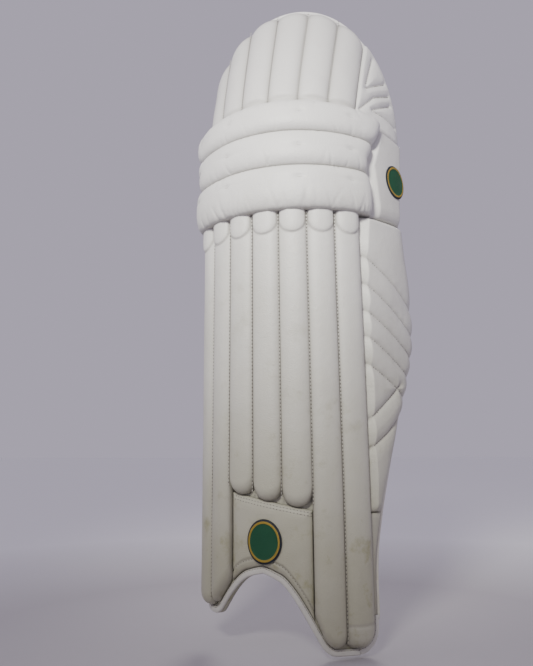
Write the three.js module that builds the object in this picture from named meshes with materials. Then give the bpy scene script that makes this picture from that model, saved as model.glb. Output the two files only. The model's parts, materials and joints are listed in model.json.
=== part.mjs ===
// A cricket batting pad: a guard that is strapped round the front of a batter's leg, from the instep to above
// the knee. A thin curved backing carries the padding: seven upright cane rolls over the shin, three bolsters
// over the knee, six rolls over the thigh, quilted wings at both sides and an instep patch over the shoe.
// A flat binding edges the feet, a round piping edges the rest, and three straps close the back.
//
// Millimetres and degrees. X points to the outer side of the leg, Y backwards, Z up.
// Every piece is laid out on the pad as if it lay flat, and then wrapped on the leg:
//   across  distance round the face from the middle of the shin, to the outer side
//   along   distance up the front of the pad from the soles of its feet
//   out     distance out from the backing's face
import * as THREE from "three";

// Driving dimensions of the whole pad
const paddingDepth = 12; // from the backing's face to the face that the layout is measured on
const backingWall = 6;
const shinLength = 480; // soles to the lower edge of the knee bolsters
const kneeHeight = 119;
const domeFoot = 13; // start of the half ellipse that ends the pad, above the knee bolsters
const domeRise = 153;
const outerWing = 114; // widest, beyond the outermost shin roll
const innerWing = 50;
const footRim = 12; // what is left of the wings beside the feet
const clearance = 0.5; // between any two pieces
const seatGap = 0.7; // between the backing and what is sewn to it

// Rolls
const rollPitch = 33;
const rollCount = 7;
const rollCrown = 15;
const rollEdge = 7;
const shortRolls = 3; // the middle ones, which stop above the instep patch
const rollTaper = 20; // length over which a roll's end comes down to the backing
const fingerLength = 34; // the thicker ends of the shin rolls, under the knee
const fingerRise = 3;
const topCount = 6;
const topPitchLow = 38; // the rolls above the knee spread upwards
const topPitchHigh = 42.5;
const topCrown = 13;
const bulbLength = 15;
const bulbRise = 2;

// Knee
const bolsterCrown = 29;
const bolsterValley = 17;
const bolsterOverhang = 6;
const kneePanelCrown = 15;
const kneePanelDrop = 8; // the knee panels reach lower than the bolsters
const kneeBand = 13; // the flat, twice stitched strip outside the knee panel
const bandThickness = 4;

// Wings
const wingSheet = 3.5; // the sewn-down facing in the seams of the quilting
const wingCrown = 11;
const innerWingCrown = 7;
const quiltRise = 3.5; // of a quilted channel above the seams beside it
const quiltDrop = 0.56; // fall of the quilting lines per length outwards
const creaseRise = 0.7; // rise of the crease below them
const pipingSeat = 1.5; // bare backing between a wing's panel and its edge

// Foot
const notchTop = 80;
const notchShift = -8;
const footCorner = 26;
const innerFootRise = 30; // the inner foot is shorter
const instepTop = 150;
const instepCrown = 7;
const bindingWidth = 7;
const bindingThickness = 2.5;
const ankleSeam = 141;

// Edge
const pipingRadius = 3;
const pipingGap = 0.8;

// Straps
const strapThickness = 3;
const strapOverlap = 26; // how far a strap runs inside each wing
const strapWidth = 44;
const ankleWidth = 74;
const ankleThickness = 9;
const strapSlack = 30; // room behind the wings' edges
const strapTuck = 8; // how far a strap stands off the lining where it leaves a wing

// The leg's axis, which is the part's own origin, behind the middle of the face
const legDepth = 75;

// Badges
const badgeWidth = 40;
const badgeHeight = 46;
const badgeThickness = 1;
const kneeBadgeUp = 528; // middles of the badges, up the pad
const instepBadgeUp = 113;

// Worked out from the sizes above
const rollSpan = (rollCount * rollPitch) / 2;
const kneeTop = shinLength + kneeHeight;
const domeStart = kneeTop + domeFoot;

// Height rows of the pad's width: it narrows a little towards the top
const spreadRows = [
  { at: 0, spread: 1.03 },
  { at: 0.4, spread: 1.02 },
  { at: 1, spread: 0.98 },
  { at: 1.7, spread: 0.94 },
];

// Section rows: turn of the face round the leg, against the distance across in roll pitches
const turnRows = [
  { at: 0, turn: 0 },
  { at: 1, turn: 15 },
  { at: 2, turn: 30 },
  { at: 3, turn: 45 },
  { at: 3.5, turn: 52 },
  { at: 5, turn: 68 },
  { at: 6.7, turn: 85 },
  { at: 8, turn: 98 },
];

// Height rows of the pad's side view: how far the face leans back, against the share of the shin's length
const leanRows = [
  { at: 0, lean: 0 },
  { at: 1, lean: 0 },
  { at: 1.12, lean: 3 },
  { at: 1.24, lean: 8 },
  { at: 1.33, lean: 14 },
  { at: 1.45, lean: 17 },
  { at: 1.7, lean: 17 },
];

// Height rows of the wings' edge: share of the widest wing beyond the rim of the foot
const wingRows = [
  { at: 0, width: 0 },
  { at: 0.19, width: 0 },
  { at: 0.3, width: 0.11 },
  { at: 0.4, width: 0.28 },
  { at: 0.5, width: 0.49 },
  { at: 0.6, width: 0.76 },
  { at: 0.69, width: 0.96 },
  { at: 0.745, width: 1 },
  { at: 0.84, width: 0.93 },
  { at: 1, width: 0.78 },
  { at: 1.12, width: 0.82 },
  { at: 1.27, width: 0.85 },
  { at: 1.7, width: 0.85 },
];

// Notch rows: height as a share of the notch's top, against the distance from its middle in roll pitches
const notchRows = [
  { at: 0, height: 1 },
  { at: 0.35, height: 0.95 },
  { at: 0.7, height: 0.87 },
  { at: 1.06, height: 0.7 },
  { at: 1.42, height: 0.48 },
  { at: 1.78, height: 0.24 },
  { at: 2.05, height: 0.08 },
  { at: 2.45, height: 0 },
  { at: 8, height: 0 },
];

// Knee rows: where a knee panel begins, in roll pitches beyond the outermost roll, against the knee's height
const kneeEdgeRows = [
  { at: 0, outer: 0.52, inner: 0.15 },
  { at: 0.5, outer: 0.32, inner: -0.15 },
  { at: 1, outer: 1.1, inner: 0.4 },
];

// The three knee bolsters, from the lowest up, as shares of the knee's height
const bolsters = [
  { name: "knee_bolster_lower", low: 0, high: 0.355 },
  { name: "knee_bolster_middle", low: 0.355, high: 0.71 },
  { name: "knee_bolster_upper", low: 0.71, high: 1 },
];

// Quilting lines of the calf's wing: where each starts beside the outermost roll, as a share of the shin
const quiltStarts = [0.89, 0.823, 0.758, 0.698, 0.633];

// Straps: height of the middle as a share of the shin
const straps = [
  { name: "knee_strap", height: 0.985, width: strapWidth, thickness: strapThickness, material: "strap" },
  { name: "calf_strap", height: 0.76, width: strapWidth, thickness: strapThickness, material: "strap" },
  { name: "ankle_strap", height: 0.39, width: ankleWidth, thickness: ankleThickness, material: "towelling" },
];

const { lerp, clamp, degToRad, smoothstep } = THREE.MathUtils;

// Value of a table's column at a place between its rows: smooth through the rows, or on straight lines.
function rowsAt(rows, at) {
  const next = rows.findIndex((row) => row.at > at);
  const j = next < 0 ? rows.length - 2 : Math.max(next - 1, 0);
  const span = rows[j + 1].at - rows[j].at;
  return { j, span, t: clamp((at - rows[j].at) / span, 0, 1) };
}
function readStraight(rows, column, at) {
  const { j, t } = rowsAt(rows, at);
  return lerp(rows[j][column], rows[j + 1][column], t);
}
function read(rows, column, at) {
  const { j, span, t } = rowsAt(rows, at);
  const slope = (k) => {
    const a = rows[Math.max(k - 1, 0)];
    const b = rows[Math.min(k + 1, rows.length - 1)];
    return (b[column] - a[column]) / (b.at - a.at);
  };
  const rise = rows[j][column] * (1 + 2 * t) + span * slope(j) * t;
  const fall = rows[j + 1][column] * (3 - 2 * t) - span * slope(j + 1) * (1 - t);
  return rise * (1 - t) ** 2 + fall * t ** 2;
}

// Side view and section of the face, each stepped along as a polyline that is read by its length.
const step = 4;
const longest = domeStart + domeRise + 2 * step;
const sideView = [{ at: 0, back: 0, up: 0 }];
for (let at = step; at <= longest; at += step) {
  const lean = degToRad(read(leanRows, "lean", (at - step / 2) / shinLength));
  const before = sideView.at(-1);
  sideView.push({ at, back: before.back + step * Math.sin(lean), up: before.up + step * Math.cos(lean) });
}
const turnAt = (across) =>
  Math.sign(across) * degToRad(read(turnRows, "turn", Math.abs(across) / rollPitch));
const section = [{ at: 0, side: 0, back: 0 }];
for (let at = step; at <= 1.1 * (rollSpan + outerWing); at += step) {
  const turn = turnAt(at - step / 2);
  const before = section.at(-1);
  section.push({ at, side: before.side + step * Math.cos(turn), back: before.back + step * Math.sin(turn) });
}

// A point of the flat layout, wrapped on the leg.
function wrap(flatAcross, along, out) {
  const across = flatAcross * read(spreadRows, "spread", along / shinLength);
  const turn = turnAt(across);
  const beyond = out - paddingDepth;
  const side = Math.sign(across) * readStraight(section, "side", Math.abs(across)) + beyond * Math.sin(turn);
  const depth = readStraight(section, "back", Math.abs(across)) - beyond * Math.cos(turn);
  const lean = degToRad(read(leanRows, "lean", along / shinLength));
  return new THREE.Vector3(
    side,
    readStraight(sideView, "back", Math.max(along, 0)) + depth * Math.cos(lean),
    readStraight(sideView, "up", Math.max(along, 0)) + Math.min(along, 0) - depth * Math.sin(lean),
  );
}

// Edge of the pad at a height: side is 1 for the outer wing and -1 for the inner one.
function edge(along, side) {
  const widest = side > 0 ? outerWing : innerWing;
  return side * (rollSpan + footRim + (widest - footRim) * read(wingRows, "width", along / shinLength));
}

// Top of the dome and bottom of the feet, at a place across the pad, and the dome's edge at a height.
const domeMiddle = (edge(domeStart, 1) + edge(domeStart, -1)) / 2;
const domeHalf = (edge(domeStart, 1) - edge(domeStart, -1)) / 2;
const domeTop = (across) =>
  domeStart + domeRise * Math.sqrt(Math.max(0, 1 - ((across - domeMiddle) / domeHalf) ** 2));
const domeEdge = (along, side) =>
  along < domeStart
    ? edge(along, side)
    : domeMiddle + side * domeHalf * Math.sqrt(Math.max(0, 1 - ((along - domeStart) / domeRise) ** 2));
function footBottom(across) {
  const inward = across < notchShift ? innerFootRise : 0;
  const notch = read(notchRows, "height", Math.abs(across - notchShift) / rollPitch);
  const beyond = Math.abs(across) - (rollSpan + footRim - footCorner);
  const corner = beyond > 0 ? footCorner - Math.sqrt(Math.max(0, footCorner ** 2 - beyond ** 2)) : 0;
  return inward + (notchTop - inward) * notch + corner;
}

// Upper edge of the binding over the foot's bottom, measured up the pad where the bottom slopes
function bindingTop(across) {
  const slope = footBottom(across + 0.5) - footBottom(across - 0.5);
  return footBottom(across) + bindingWidth * Math.hypot(1, slope) + clearance;
}

// A box with a grid of faces, each corner of which goes where place(u, v, w) says. w is 0 on the underside.
function padded(columns, rows, layers, place) {
  const box = new THREE.BoxGeometry(1, 1, 1, columns, rows, layers);
  const spots = box.attributes.position;
  for (let i = 0; i < spots.count; i++) {
    const p = place(spots.getX(i) + 0.5, spots.getY(i) + 0.5, spots.getZ(i) + 0.5);
    spots.setXYZ(i, p.x, p.y, p.z);
  }
  box.computeVertexNormals();
  return box;
}

// A rod round a path: place(t, out, aside) gives a point at a share of its length, off to two sides.
function rod(steps, sides, radius, place) {
  const bar = new THREE.CylinderGeometry(1, 1, 1, sides, steps);
  const spots = bar.attributes.position;
  for (let i = 0; i < spots.count; i++) {
    const p = place(spots.getY(i) + 0.5, spots.getX(i) * radius, -spots.getZ(i) * radius);
    spots.setXYZ(i, p.x, p.y, p.z);
  }
  bar.computeVertexNormals();
  return bar;
}

const round = (share) => Math.sqrt(Math.max(0, 1 - (2 * share - 1) ** 2)); // 0 at both ends, 1 in the middle
const crowd = (share) => (1 - Math.cos(Math.PI * share)) / 2; // stations closer together near both ends
const crowdABit = (share) => share - 0.085 * Math.sin(2 * Math.PI * share);
const pick = (stations, share) => stations[Math.round(share * (stations.length - 1))];

const materials = {
  facing: { color: 0xd9d9d4, roughness: 0.5 },
  lining: { color: 0xc9c9c6, roughness: 0.9 },
  binding: { color: 0xdfdfd6, roughness: 0.6 },
  strap: { color: 0xd4d4d2, roughness: 0.85 },
  towelling: { color: 0x8f8f96, roughness: 0.95 },
  badge: { color: 0x1c6b3c, roughness: 0.5 },
};

const pad = new THREE.Group();
pad.position.y = -legDepth;
function add(name, geometry, material) {
  const mesh = new THREE.Mesh(geometry, new THREE.MeshStandardMaterial(materials[material]));
  mesh.name = name;
  pad.add(mesh);
}

// Backing: one curved sheet of the whole outline
const backing = padded(23, 31, 1, (u, v, w) => {
  const share = crowdABit(u);
  const low = footBottom(lerp(edge(0, -1), edge(0, 1), share));
  const high = domeTop(lerp(edge(domeStart, -1), edge(domeStart, 1), share));
  const along = lerp(low, high, v);
  return wrap(lerp(edge(along, -1), edge(along, 1), share), along, lerp(-backingWall, 0, w));
});
add("backing", backing, "lining");

// Shin rolls: half-round channels over the canes. The outer pairs reach the soles.
const rollStations = [0, 0.02, 0.05, 0.5, 0.93, 0.942, 0.97, 1];
const shortStations = [0, 0.03, 0.07, 0.5, 0.9, 0.917, 0.96, 1];
function shinRoll(place) {
  const isShort = Math.abs(place) < shortRolls / 2;
  const half = (rollPitch - clearance) / 2;
  const high = shinLength - clearance;
  return padded(6, rollStations.length - 1, 1, (u, v, w) => {
    const share = crowd(u);
    const across = place * rollPitch + lerp(-half, half, share);
    const foot = isShort ? instepTop + clearance : bindingTop(across) + 3 * clearance;
    const low = foot + (isShort ? 0.75 * half * (1 - round(share)) : 0);
    const along = lerp(low, high, pick(isShort ? shortStations : rollStations, v));
    const finger = smoothstep(along, high - fingerLength, high - fingerLength + 4) * fingerRise;
    const end = Math.sqrt(clamp((along - low) / rollTaper, 0, 1));
    const crown = rollEdge + (rollCrown + finger - rollEdge) * round(share) * lerp(0.25, 1, end);
    return wrap(across, along, lerp(seatGap, crown, w));
  });
}
for (let i = 0; i < rollCount; i++) add(`shin_roll_${i + 1}`, shinRoll(i - (rollCount - 1) / 2), "facing");

// Top rolls: they spread upwards from the knee and end just inside the piping.
const topStations = [0, 0.06, 0.1, 0.13, 0.3, 0.55, 0.93, 1];
const topLow = kneeTop + 2 * clearance;
const topPitch = (along) => lerp(topPitchLow, topPitchHigh, (along - topLow) / (domeStart + domeRise - topLow));
function topRoll(place) {
  return padded(6, topStations.length - 1, 1, (u, v, w) => {
    const share = crowd(u);
    const reach = domeTop((place - 0.5 + share) * topPitchHigh) - 2 * pipingSeat - 4 * (1 - round(share));
    const along = lerp(topLow, reach, pick(topStations, v));
    const pitch = topPitch(along);
    const across = (place + (share - 0.5) * (1 - clearance / pitch)) * pitch;
    const bulb = (1 - smoothstep(along, topLow + bulbLength - 4, topLow + bulbLength)) * bulbRise;
    const end = Math.sqrt(clamp((reach - along) / 10, 0, 1));
    const crown = rollEdge + (topCrown + bulb - rollEdge) * round(share) * lerp(0.3, 1, end);
    return wrap(across, along, lerp(seatGap, crown, w));
  });
}
for (let i = 0; i < topCount; i++) add(`top_roll_${i + 1}`, topRoll(i - (topCount - 1) / 2), "facing");

// Knee bolsters: three soft rolls that lie round the knee, between the two knee panels
const kneeEdge = (along, side) =>
  rollSpan +
  rollPitch * readStraight(kneeEdgeRows, side > 0 ? "outer" : "inner", (along - shinLength) / kneeHeight);
const bolsterStations = [0, 0.07, 0.2, 0.4, 0.7, 0.93, 1];
function bolster({ low, high }) {
  const from = shinLength + low * kneeHeight + clearance / 2;
  const to = shinLength + high * kneeHeight - clearance / 2;
  const ledge = rollCrown + fingerRise + 1;
  const overhang = [low === 0 ? bolsterOverhang : 0, high === 1 ? bolsterOverhang : 0];
  return padded(14, 6, 2, (u, v, w) => {
    const share = pick(bolsterStations, v);
    const along = lerp(from, to, share);
    const outer = kneeEdge(along, 1) - clearance;
    const inner = clearance - kneeEdge(along, -1);
    const across = lerp(inner, outer, crowdABit(u));
    if (w === 0) return wrap(across, along, seatGap);
    if (w < 1) return wrap(across, along, ledge);
    const full = Math.sqrt(clamp(Math.min(outer - across, across - inner) / 14, 0, 1));
    const crown = bolsterValley + (bolsterCrown - bolsterValley) * round(share) * lerp(0.3, 1, full);
    const over = overhang[1] * share ** 4 - overhang[0] * (1 - share) ** 4;
    return wrap(across, along + over, Math.max(ledge + clearance, crown));
  });
}
for (const row of bolsters) add(row.name, bolster(row), "facing");

// Wings: padding beside the rolls. A panel is laid between an inner and an outer edge, which are given for
// the outer wing; the inner wing mirrors them.
function panel(side, columns, rows, widths, place) {
  return padded(columns, rows, 1, (u, v, w) => {
    const share = pick(widths, side > 0 ? u : 1 - u);
    const { inner, outer, along, out } = place(share, v, w);
    return wrap(side * lerp(inner, outer, share), along, out);
  });
}

// How far a panel may reach: the pad's edge at that height, less the bare strip for the piping.
const reachOf = (along, side) => side * domeEdge(along, side) - pipingSeat;
const sideWall = (share) => smoothstep(share, -0.01, 0.12);
const rimWall = (share) => 1 - smoothstep(share, 0.55, 1);

// Knee panels: five-sided, with a flat stitched band outside them
function kneePanel(side) {
  const from = shinLength - kneePanelDrop + clearance / 2;
  const to = kneeTop - clearance / 2;
  const widths = [0, 0.06, 0.16, 0.33, 0.5, 0.65, 0.78, 0.84, 1];
  const crown = side > 0 ? kneePanelCrown : innerWingCrown;
  return panel(side, 8, 6, widths, (share, v, w) => {
    const along = lerp(from, to, pick([0, 0.05, 0.22, 0.5, 0.76, 0.95, 1], v));
    const inner = kneeEdge(along, side) + clearance;
    const full = Math.min(1, 1.2 * Math.sqrt(round(v))) * smoothstep(share, -0.02, 0.16);
    const inPanel = share < 0.8 ? bandThickness + (crown - bandThickness) * full : bandThickness;
    return { inner, outer: reachOf(along, side), along, out: lerp(seatGap, inPanel, w) };
  });
}

// Upper wings: stitched padding beside the top rolls, up to the dome
function upperWing(side) {
  const widths = [0, 0.08, 0.24, 0.42, 0.6, 0.78, 0.92, 1];
  const crown = side > 0 ? wingCrown : innerWingCrown;
  const inner = (along) => (topCount / 2) * topPitch(along) + clearance;
  let high = domeStart + domeRise;
  while (reachOf(high, side) < inner(high) + 8) high -= 1;
  return panel(side, 7, 8, widths, (share, v, w) => {
    const along = lerp(kneeTop + clearance, high, pick([0, 0.04, 0.1, 0.25, 0.45, 0.65, 0.82, 0.95, 1], v));
    const ends = smoothstep(v, -0.02, 0.25) * (1 - smoothstep(v, 0.86, 1.02));
    const out = wingSheet + (crown - wingSheet) * sideWall(share) * rimWall(share) * ends;
    return { inner: inner(along), outer: reachOf(along, side), along, out: lerp(seatGap, out, w) };
  });
}

// Calf wings: the outer one is quilted along lines that fall outwards, with a crease under them; the inner one
// is plain.
function calfWing(side) {
  const widths = [0, 0.08, 0.25, 0.42, 0.6, 0.78, 0.92, 1];
  const widest = reachOf(0.745 * shinLength, side) - rollSpan;
  const crown = side > 0 ? wingCrown : innerWingCrown;
  const inner = rollSpan + clearance;
  const low = ankleSeam + clearance / 2;
  const high = shinLength - kneePanelDrop - clearance / 2;
  const line = (start) => (beyond) => start * shinLength - quiltDrop * beyond;
  const crease = (beyond) => Math.min(0.49 * shinLength + creaseRise * beyond, line(quiltStarts.at(-1))(beyond) - 4);
  const quilted = [() => low, crease, ...quiltStarts.map(line).reverse(), () => high];
  const lines = side > 0 ? quilted : [quilted[0], quilted.at(-1)];
  const channel = side > 0 ? [0, 0.18, 0.72, 1] : [0, 0.04, 0.1, 0.3, 0.5, 0.7, 0.9, 0.96, 1];
  const perChannel = channel.length - 1;
  const rows = (lines.length - 1) * perChannel;
  return panel(side, 7, rows, widths, (share, v, w) => {
    const row = Math.round(v * rows);
    const k = Math.min(Math.floor(row / perChannel), lines.length - 2);
    const within = pick(channel, (row - k * perChannel) / perChannel);
    const beyond = share * widest;
    const raw = lerp(lines[k](beyond), lines[k + 1](beyond), within);
    const along = clamp(raw, low + 0.02 * row, high);
    const quilt = within === 0 || within === 1 ? 0 : quiltRise;
    const base = crown - quiltRise - wingSheet;
    const taper = smoothstep(along, low, low + 12) * (1 - smoothstep(along, high - 10, high + 4));
    const out = wingSheet + (base + quilt) * sideWall(share) * rimWall(share) * taper;
    return { inner, outer: reachOf(along, side), along, out: lerp(seatGap, out, w) };
  });
}

// Top of the foot's rounded corner
const footTop = (side) => footCorner + (side > 0 ? 0 : innerFootRise);

// Ankle wings: the plain lower ends of the wings, narrowing to the rim of the foot
function ankleWing(side) {
  const low = footTop(side) + 8;
  const high = ankleSeam - clearance / 2;
  return panel(side, 4, 7, [0, 0.15, 0.5, 0.85, 1], (share, v, w) => {
    const along = lerp(low, high, v);
    const room = clamp((reachOf(along, side) - rollSpan) / 20, 0, 1);
    const out = wingSheet + 3 * round(share) * room;
    return { inner: rollSpan + clearance, outer: reachOf(along, side), along, out: lerp(seatGap, out, w) };
  });
}
for (const [word, side] of [["outer", 1], ["inner", -1]]) {
  add(`knee_panel_${word}`, kneePanel(side), "facing");
  add(`upper_wing_${word}`, upperWing(side), "facing");
  add(`calf_wing_${word}`, calfWing(side), "facing");
  add(`ankle_wing_${word}`, ankleWing(side), "facing");
}

// Instep patch: over the shoe, between the two feet, with a rounded groove inside the notch
const instepGap = 1;
const instep = padded(10, 6, 1, (u, v, w) => {
  const half = (shortRolls * rollPitch) / 2 - clearance / 2;
  const across = lerp(-half, half, u);
  const up = pick([0, 0.07, 0.17, 0.5, 0.83, 0.93, 1], v);
  const along = lerp(bindingTop(across) + instepGap, instepTop, up);
  const full = Math.min(1, 1.2 * Math.sqrt(round(u) * round(up)));
  return wrap(across, along, lerp(seatGap, wingSheet + (instepCrown - wingSheet) * full, w));
});
add("instep_patch", instep, "facing");

// Foot binding: a flat tape round both feet and the notch
function bindingPath(t) {
  const side = t < 0.5 ? -1 : 1;
  const straight = rollSpan + footRim - footCorner;
  const share = Math.abs(2 * t - 1) / 0.84; // past 1 the path turns up round the corner
  if (share <= 1) {
    const across = side * straight * share;
    return { across, along: footBottom(across) };
  }
  const angle = ((share - 1) / (1 / 0.84 - 1)) * (Math.PI / 2);
  const along = footTop(side) - footCorner * Math.cos(angle);
  return { across: side * (straight + footCorner * Math.sin(angle)), along };
}
const binding = padded(52, 1, 1, (u, v, w) => {
  const here = bindingPath(u);
  const a = bindingPath(Math.max(u - 0.002, 0));
  const b = bindingPath(Math.min(u + 0.002, 1));
  const run = new THREE.Vector2(b.across - a.across, b.along - a.along).normalize();
  const up = bindingWidth * v;
  const out = lerp(seatGap, seatGap + bindingThickness, w);
  return wrap(here.across - run.y * up, here.along + run.x * up, out);
});
add("foot_binding", binding, "binding");

// Piping: one round cord from the outer foot, up the wing, over the dome and down to the inner foot
function pipingPath(t) {
  const side = t < 0.5 ? 1 : -1;
  const share = 1 - Math.abs(2 * t - 1);
  const turnShare = 0.62; // the share of each half that runs up the wing
  if (share < turnShare) {
    const along = lerp(footTop(side) + 2 * clearance, domeStart, share / turnShare);
    return { across: edge(along, side), along };
  }
  const angle = ((share - turnShare) / (1 - turnShare)) * (Math.PI / 2);
  return { across: domeMiddle + side * domeHalf * Math.cos(angle), along: domeStart + domeRise * Math.sin(angle) };
}
const piping = rod(76, 5, pipingRadius, (t, out, aside) => {
  const here = pipingPath(t);
  const a = pipingPath(Math.max(t - 0.004, 0));
  const b = pipingPath(Math.min(t + 0.004, 1));
  const run = new THREE.Vector2(b.across - a.across, b.along - a.along).normalize();
  const off = pipingRadius + pipingGap + aside;
  return wrap(here.across + run.y * off, here.along - run.x * off, out - backingWall / 2);
});
add("edge_piping", piping, "binding");

// Straps: from inside one wing, round the back of the leg, to inside the other wing
function strapCurve(along, width, thickness) {
  const inside = -backingWall - seatGap - thickness / 2;
  const wing = (side) => {
    const leaves = Math.max(side * edge(along + width / 2, side), side * edge(along - width / 2, side));
    const begins = side * edge(along - width / 2, side) - strapOverlap;
    const shares = [0, 0.2, 0.4, 0.6, 0.8, 1];
    return shares.map((share) => wrap(side * lerp(begins, leaves, share), along, inside - share * strapTuck));
  };
  const [outer, inner] = [wing(1), wing(-1)];
  const rear = Math.max(outer.at(-1).y, inner.at(-1).y) + strapSlack;
  const behind = [0.62, 0, -0.62].map((share) => {
    const side = share < 0 ? -inner.at(-1).x : outer.at(-1).x;
    return new THREE.Vector3(share * side, rear - (share ? 9 : 0), outer[0].z);
  });
  return new THREE.CatmullRomCurve3([...outer, ...behind, ...inner.reverse()], false, "centripetal");
}
for (const { name, height, width, thickness, material } of straps) {
  const curve = strapCurve(height * shinLength, width, thickness);
  const strap = padded(30, 1, 1, (u, v, w) => {
    const share = u;
    const here = curve.getPointAt(share);
    const run = curve.getTangentAt(share).setZ(0).normalize();
    here.x += run.y * (w - 0.5) * thickness;
    here.y -= run.x * (w - 0.5) * thickness;
    here.z += (v - 0.5) * width;
    return here;
  });
  add(name, strap, material);
}

// Badges: thin plain roundels on the outer knee panel and the instep
function badge(middle, along, seat) {
  return padded(6, 6, 1, (u, v, w) => {
    const [x, y] = [2 * u - 1, 2 * v - 1];
    const across = middle + (badgeWidth / 2) * x * Math.sqrt(1 - y ** 2 / 2);
    const up = along + (badgeHeight / 2) * y * Math.sqrt(1 - x ** 2 / 2);
    return wrap(across, up, seat + lerp(clearance, clearance + badgeThickness, w));
  });
}
const kneeMiddle = edge(kneeBadgeUp, 1) - kneeBand - badgeWidth / 2;
add("knee_badge", badge(kneeMiddle, kneeBadgeUp, kneePanelCrown), "badge");
add("instep_badge", badge(notchShift / 2, instepBadgeUp, instepCrown), "badge");

export default pad;
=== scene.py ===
# A cricket batting pad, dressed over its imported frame: padded rolls, bolsters and quilted wings of white
# coated cloth on a curved backing, with bound edges, straps at the back and two plain roundels.
import json
import math

import bpy
import numpy as np
from mathutils import Matrix, Vector
from mathutils.bvhtree import BVHTree

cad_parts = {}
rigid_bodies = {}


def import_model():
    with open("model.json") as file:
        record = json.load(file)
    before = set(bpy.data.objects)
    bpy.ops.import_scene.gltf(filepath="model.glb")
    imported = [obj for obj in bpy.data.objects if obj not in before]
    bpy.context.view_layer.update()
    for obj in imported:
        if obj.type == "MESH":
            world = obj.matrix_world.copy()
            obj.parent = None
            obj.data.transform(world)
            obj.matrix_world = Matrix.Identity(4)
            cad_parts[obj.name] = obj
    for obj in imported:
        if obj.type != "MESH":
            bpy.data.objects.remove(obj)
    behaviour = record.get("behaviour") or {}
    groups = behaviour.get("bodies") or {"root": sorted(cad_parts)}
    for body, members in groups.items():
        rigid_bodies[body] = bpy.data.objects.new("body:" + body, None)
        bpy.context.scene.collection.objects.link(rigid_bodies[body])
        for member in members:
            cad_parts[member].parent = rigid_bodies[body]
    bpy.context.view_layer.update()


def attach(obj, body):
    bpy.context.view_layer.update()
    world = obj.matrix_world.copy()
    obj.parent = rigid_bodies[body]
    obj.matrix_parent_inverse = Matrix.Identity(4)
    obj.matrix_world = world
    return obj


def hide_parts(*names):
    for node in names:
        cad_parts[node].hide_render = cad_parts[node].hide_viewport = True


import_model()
bpy.ops.object.select_all(action="DESELECT")

# Camera, light and floor
# The pad stands upright and is seen from low down, a little to its outer side, as a picture taken by hand.
turned, raised, rolled = math.radians(22), math.radians(-10), math.radians(-0.3)
look_at, stand_off, shift_right, shift_up = Vector((0, -0.035, 0.331)), 0.783, 0.0134, 0.0093
sensor_height, focal_pixels, picture_pixels = 36, 682, 666
across_view = Vector((math.cos(turned), math.sin(turned), 0))
into_view = Vector((-math.sin(turned), math.cos(turned), 0)) * math.cos(raised)
into_view.z = -math.sin(raised)
up_view = across_view.cross(into_view)
right = across_view * math.cos(rolled) + up_view * math.sin(rolled)
top = up_view * math.cos(rolled) - across_view * math.sin(rolled)
eye = look_at - stand_off * into_view - shift_right * right + shift_up * top
bpy.ops.object.camera_add()
camera = bpy.context.object
camera.data.sensor_width = sensor_height
camera.data.lens = sensor_height * focal_pixels / picture_pixels
camera.data.clip_start = 0.02
camera.data.dof.use_dof = False
camera.matrix_world = Matrix.Translation(eye) @ Matrix((right, top, -into_view)).transposed().to_4x4()
bpy.context.scene.camera = camera


def soft_light(name, place, aim, size, spread, watts, tint):
    """A round lamp: metres, and degrees of spread."""
    bpy.ops.object.light_add(type="AREA", location=place)
    lamp = bpy.context.object
    lamp.name = name
    lamp.data.shape = "DISK"
    lamp.data.size = size
    lamp.data.spread = math.radians(spread)
    lamp.data.energy = watts
    lamp.data.color = tint
    lamp.rotation_euler = (Vector(aim) - Vector(place)).to_track_quat("-Z", "Y").to_euler()


soft_light("ceiling", (0.14, -1.20, 1.00), (0.02, -0.05, 0.54), 0.30, 44, 1.75, (1.0, 0.985, 0.91))
soft_light("room", (-1.4, -0.9, 1.3), (0, 0, 0.55), 0.9, 50, 0.35, (1.0, 0.99, 0.97))
soft_light("behind", (-0.4, 1.6, 1.3), (0, 0, 0.50), 0.9, 50, 2.2, (1.0, 0.98, 0.96))
world = bpy.data.worlds.new("pale_room")
world.use_nodes = True
for socket, value in (("Color", (0.955, 0.875, 1.08, 1)), ("Strength", 0.48)):
    world.node_tree.nodes["Background"].inputs[socket].default_value = value
bpy.context.scene.world = world


class Number:
    """A node's socket in an expression: its operators add Math nodes."""

    def __init__(self, finish, socket):
        self.finish, self.socket = finish, socket

    def _with(self, operation, first, second):
        return self.finish.node("ShaderNodeMath", {"operation": operation}, {0: first, 1: second})

    def __add__(self, other):
        return self._with("ADD", self, other)

    __radd__ = __add__

    def __sub__(self, other):
        return self._with("SUBTRACT", self, other)

    def __rsub__(self, other):
        return self._with("SUBTRACT", other, self)

    def __mul__(self, other):
        return self._with("MULTIPLY", self, other)


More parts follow.
